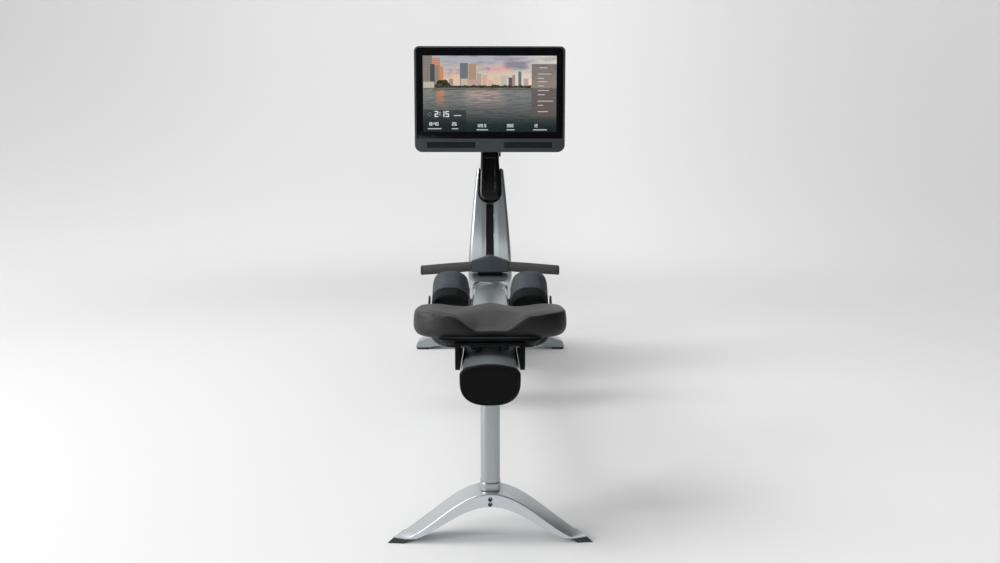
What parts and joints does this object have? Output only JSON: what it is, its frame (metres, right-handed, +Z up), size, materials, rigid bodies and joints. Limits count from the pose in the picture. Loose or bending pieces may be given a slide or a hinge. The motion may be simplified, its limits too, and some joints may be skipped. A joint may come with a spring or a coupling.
{
  "type": "rowing machine",
  "caption": "Rowing machine: seat on a silver rail, strap-pull handle, tilted footrests, arched feet, and a mast with a swivelling display over a flywheel drive.",
  "frame": {"origin": "on the floor, under the middle of the machine's bounding box", "axes": "+Y forward from the rail's free end to the display, +X to the rower's right, +Z up"},
  "size_m": [0.629, 2.184, 1.194],
  "materials": {
    "silver": "satin painted casting and extrusion",
    "track_steel": "bright polished strip",
    "black_plastic": "fine moulded texture",
    "gloss_black": "polished",
    "slate_plastic": "satin moulded",
    "bed_plastic": "moulded texture",
    "foam": "closed-cell foam",
    "webbing": "woven nylon webbing",
    "seat_skin": "moulded skin, fine grain",
    "rubber": "plain",
    "steel": "turned",
    "iron": "dark coated",
    "screen": "black glass over a lit panel"
  },
  "bodies": {
    "root": {"rail_beam": "silver", "rail_track_left": "track_steel", "rail_track_right": "track_steel", "rail_end_cap": "black_plastic", "rear_post": "silver", "post_collar": "silver", "rear_foot": "silver", "rear_foot_pad_left": "rubber", "rear_foot_pad_right": "rubber", "rear_foot_bolt_upper": "iron", "rear_foot_bolt_lower": "iron", "bow_hood": "silver", "mast": "silver", "mast_channel_trim": "black_plastic", "handle_cradle": "black_plastic", "display_arm": "gloss_black", "housing_left": "black_plastic", "housing_right": "black_plastic", "power_inlet": "black_plastic", "flywheel_axle": "steel", "axle_bearing_left": "steel", "axle_bearing_right": "steel", "brake_magnet": "iron", "front_foot": "silver", "front_foot_pad_left": "rubber", "front_foot_pad_right": "rubber", "footrest_bracket": "black_plastic", "foot_plate_left": "bed_plastic", "foot_plate_right": "bed_plastic", "toe_cover_left": "slate_plastic", "toe_cover_right": "slate_plastic", "foot_strap_left": "webbing", "foot_strap_right": "webbing", "seat_stop_front": "rubber"},
    "seat": {"carriage_frame": "black_plastic", "seat_tray": "black_plastic", "seat_cushion": "seat_skin", "roller_axle_front": "steel", "roller_axle_rear": "steel"},
    "handle": {"handle_hub": "slate_plastic", "grip_left": "foam", "grip_right": "foam", "handle_strap": "webbing"},
    "display": {"display_shell": "slate_plastic", "display_glass": "screen", "speaker_grille_left": "black_plastic", "speaker_grille_right": "black_plastic", "display_bracket": "gloss_black"},
    "power_button": {"power_button": "gloss_black"},
    "strap_spool": {"strap_spool": "slate_plastic"},
    "guide_roller": {"guide_roller": "slate_plastic"},
    "flywheel": {"flywheel": "iron"},
    "heel_cup_left": {"heel_cup_left": "slate_plastic"},
    "heel_cup_right": {"heel_cup_right": "slate_plastic"},
    "transport_wheel_left": {"transport_wheel_left": "rubber"},
    "transport_wheel_right": {"transport_wheel_right": "rubber"},
    "seat_roller_front_left": {"seat_roller_front_left": "slate_plastic"},
    "seat_roller_front_right": {"seat_roller_front_right": "slate_plastic"},
    "seat_roller_rear_left": {"seat_roller_rear_left": "slate_plastic"},
    "seat_roller_rear_right": {"seat_roller_rear_right": "slate_plastic"}
  },
  "joints": [
    {"name": "seat_slide", "type": "slide", "parent": "root", "child": "seat", "axis": [0, 1, 0], "range_m": [-0.07, 0.745]},
    {"name": "handle_pull", "type": "slide", "parent": "root", "child": "handle", "axis": [0, -0.9511, 0.309], "range_m": [0, 1.2], "stiffness_N_per_m": 12, "springref_m": -1.5, "deforming": ["handle_strap"]},
    {"name": "display_swivel", "type": "hinge", "parent": "root", "child": "display", "pos_m": [0, 0.6, 0.99], "axis": [0, 0, 1], "range_deg": [-25, 25]},
    {"name": "power_button_press", "type": "slide", "parent": "display", "child": "power_button", "axis": [0, -1, 0], "range_m": [0, 0.0015], "stiffness_N_per_m": 400},
    {"name": "flywheel_spin", "type": "hinge", "parent": "root", "child": "flywheel", "pos_m": [0.034, 0.775, 0.228], "axis": [1, 0, 0], "continuous": true},
    {"name": "spool_spin", "type": "hinge", "parent": "root", "child": "strap_spool", "pos_m": [0, 0.775, 0.228], "axis": [1, 0, 0], "range_deg": [0, 1950]},
    {"name": "guide_roller_spin", "type": "hinge", "parent": "root", "child": "guide_roller", "pos_m": [0, 0.43112, 0.36353], "axis": [1, 0, 0], "range_deg": [0, 5500]},
    {"name": "transport_wheel_left_spin", "type": "hinge", "parent": "root", "child": "transport_wheel_left", "pos_m": [-0.24, 1.018, 0.036], "axis": [1, 0, 0], "continuous": true},
    {"name": "transport_wheel_right_spin", "type": "hinge", "parent": "root", "child": "transport_wheel_right", "pos_m": [0.24, 1.018, 0.036], "axis": [1, 0, 0], "continuous": true},
    {"name": "heel_cup_left_slide", "type": "slide", "parent": "root", "child": "heel_cup_left", "axis": [0, 0.7431, 0.6691], "range_m": [0, 0.04]},
    {"name": "heel_cup_right_slide", "type": "slide", "parent": "root", "child": "heel_cup_right", "axis": [0, 0.7431, 0.6691], "range_m": [0, 0.04]},
    {"name": "seat_roller_front_left_spin", "type": "hinge", "parent": "seat", "child": "seat_roller_front_left", "pos_m": [-0.03, -0.8, 0.362], "axis": [1, 0, 0], "range_deg": [-4600, 450]},
    {"name": "seat_roller_front_right_spin", "type": "hinge", "parent": "seat", "child": "seat_roller_front_right", "pos_m": [0.03, -0.8, 0.362], "axis": [1, 0, 0], "range_deg": [-4600, 450]},
    {"name": "seat_roller_rear_left_spin", "type": "hinge", "parent": "seat", "child": "seat_roller_rear_left", "pos_m": [-0.03, -0.94, 0.362], "axis": [1, 0, 0], "range_deg": [-4600, 450]},
    {"name": "seat_roller_rear_right_spin", "type": "hinge", "parent": "seat", "child": "seat_roller_rear_right", "pos_m": [0.03, -0.94, 0.362], "axis": [1, 0, 0], "range_deg": [-4600, 450]}
  ],
  "couplings": [
    {"joint": "spool_spin", "follows": "handle_pull", "rad_per_m": 28.169},
    {"joint": "guide_roller_spin", "follows": "handle_pull", "rad_per_m": 79.365},
    {"joint": "seat_roller_front_left_spin", "follows": "seat_slide", "rad_per_m": -105.26},
    {"joint": "seat_roller_front_right_spin", "follows": "seat_slide", "rad_per_m": -105.26},
    {"joint": "seat_roller_rear_left_spin", "follows": "seat_slide", "rad_per_m": -105.26},
    {"joint": "seat_roller_rear_right_spin", "follows": "seat_slide", "rad_per_m": -105.26}
  ]
}
